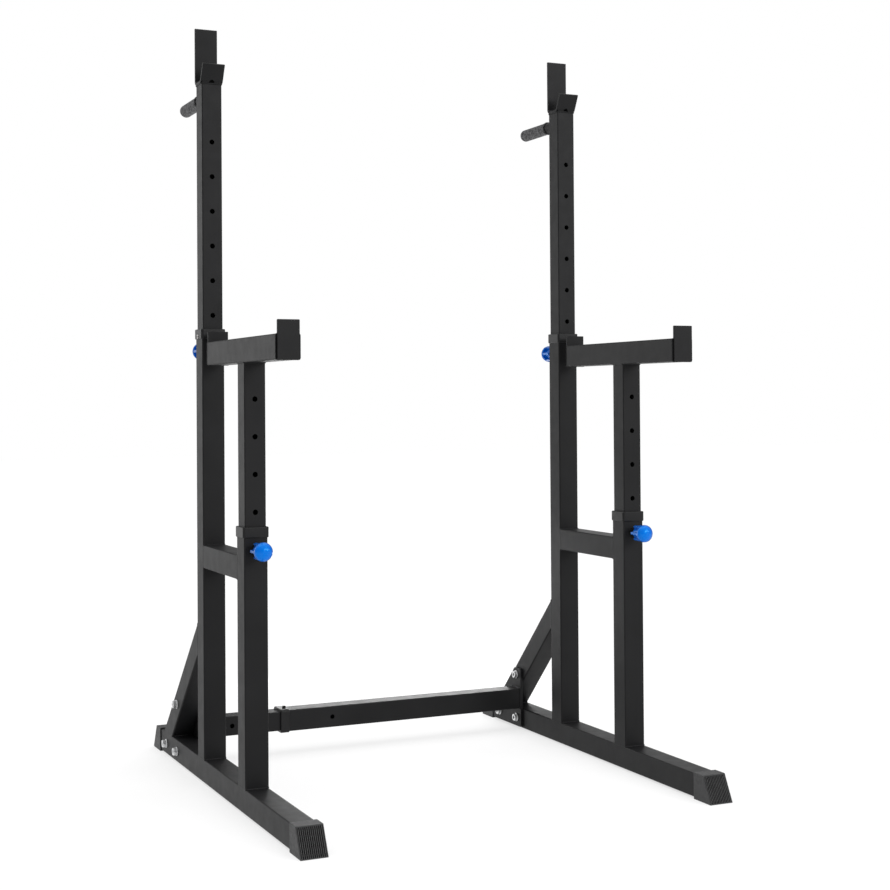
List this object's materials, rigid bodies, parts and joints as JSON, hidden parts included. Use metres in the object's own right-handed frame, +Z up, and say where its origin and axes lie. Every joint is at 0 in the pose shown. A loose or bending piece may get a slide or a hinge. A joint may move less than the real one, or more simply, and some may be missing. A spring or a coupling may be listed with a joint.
{
  "type": "squat stand",
  "caption": "Squat stand: square tube frames with height-adjustable bar catches and safety arms, on a telescoping crossbeam with sprung pull pins.",
  "frame": {"origin": "on the floor, in the middle of the stand's footprint", "axes": "+Z up, +X from the left frame to the right one as a user sees them from the arms' side, the safety arms point towards -Y"},
  "size_m": [0.9596, 1.064, 1.6605],
  "materials": {
    "frame_paint": "satin black powder coat",
    "foot_rubber": "matt dark grey moulding",
    "collar_plastic": "fine matt black",
    "grip_rubber": "speckled, grippy",
    "knob_plastic": "glossy blue",
    "zinc_steel": "bright zinc plating"
  },
  "bodies": {
    "right_frame": {"right_base_tube": "frame_paint", "right_front_foot": "foot_rubber", "right_rear_foot": "foot_rubber", "right_rear_post": "frame_paint", "right_rear_collar": "collar_plastic", "right_rear_pin_spring": "zinc_steel", "right_front_post": "frame_paint", "right_front_collar": "collar_plastic", "right_front_pin_spring": "zinc_steel", "right_cross_tube": "frame_paint", "right_rear_brace": "frame_paint", "right_end_plate": "frame_paint", "right_upper_bolt": "zinc_steel", "right_front_bolt": "zinc_steel", "right_rear_bolt": "zinc_steel", "beam_outer_tube": "frame_paint", "beam_collar": "collar_plastic", "beam_lock_screw": "frame_paint"},
    "left_frame": {"left_base_tube": "frame_paint", "left_front_foot": "foot_rubber", "left_rear_foot": "foot_rubber", "left_rear_post": "frame_paint", "left_rear_collar": "collar_plastic", "left_rear_pin_spring": "zinc_steel", "left_front_post": "frame_paint", "left_front_collar": "collar_plastic", "left_front_pin_spring": "zinc_steel", "left_cross_tube": "frame_paint", "left_rear_brace": "frame_paint", "left_end_plate": "frame_paint", "left_upper_bolt": "zinc_steel", "left_front_bolt": "zinc_steel", "left_rear_bolt": "zinc_steel", "beam_inner_tube": "frame_paint"},
    "left_rear_slider": {"left_rear_inner_post": "frame_paint", "left_bar_catch": "frame_paint", "left_handle_bar": "frame_paint", "left_handle_grip": "grip_rubber"},
    "left_arm_slider": {"left_front_inner_post": "frame_paint", "left_arm_tube": "frame_paint", "left_arm_front_stop": "frame_paint", "left_arm_rear_stop": "frame_paint"},
    "left_rear_pull": {"left_rear_pin": "zinc_steel", "left_rear_knob": "knob_plastic"},
    "left_front_pull": {"left_front_pin": "zinc_steel", "left_front_knob": "knob_plastic"},
    "right_rear_slider": {"right_rear_inner_post": "frame_paint", "right_bar_catch": "frame_paint", "right_handle_bar": "frame_paint", "right_handle_grip": "grip_rubber"},
    "right_arm_slider": {"right_front_inner_post": "frame_paint", "right_arm_tube": "frame_paint", "right_arm_front_stop": "frame_paint", "right_arm_rear_stop": "frame_paint"},
    "right_rear_pull": {"right_rear_pin": "zinc_steel", "right_rear_knob": "knob_plastic"},
    "right_front_pull": {"right_front_pin": "zinc_steel", "right_front_knob": "knob_plastic"}
  },
  "joints": [
    {"name": "beam_slide", "type": "slide", "parent": "right_frame", "child": "left_frame", "axis": [-1, 0, 0], "range_m": [-0.124, 0.186]},
    {"name": "left_catch_height", "type": "slide", "parent": "left_frame", "child": "left_rear_slider", "axis": [0, 0, 1], "range_m": [-0.4572, 0]},
    {"name": "left_arm_height", "type": "slide", "parent": "left_frame", "child": "left_arm_slider", "axis": [0, 0, 1], "range_m": [-0.3048, 0]},
    {"name": "left_rear_pin_pull", "type": "slide", "parent": "left_frame", "child": "left_rear_pull", "axis": [0, 1, 0], "range_m": [0, 0.01], "stiffness_N_per_m": 1500, "springref_m": -0.008, "deforming": ["left_rear_pin_spring"]},
    {"name": "left_front_pin_pull", "type": "slide", "parent": "left_frame", "child": "left_front_pull", "axis": [0, -1, 0], "range_m": [0, 0.01], "stiffness_N_per_m": 1500, "springref_m": -0.008, "deforming": ["left_front_pin_spring"]},
    {"name": "right_catch_height", "type": "slide", "parent": "right_frame", "child": "right_rear_slider", "axis": [0, 0, 1], "range_m": [-0.4572, 0]},
    {"name": "right_arm_height", "type": "slide", "parent": "right_frame", "child": "right_arm_slider", "axis": [0, 0, 1], "range_m": [-0.3048, 0]},
    {"name": "right_rear_pin_pull", "type": "slide", "parent": "right_frame", "child": "right_rear_pull", "axis": [0, 1, 0], "range_m": [0, 0.01], "stiffness_N_per_m": 1500, "springref_m": -0.008, "deforming": ["right_rear_pin_spring"]},
    {"name": "right_front_pin_pull", "type": "slide", "parent": "right_frame", "child": "right_front_pull", "axis": [0, -1, 0], "range_m": [0, 0.01], "stiffness_N_per_m": 1500, "springref_m": -0.008, "deforming": ["right_front_pin_spring"]}
  ]
}
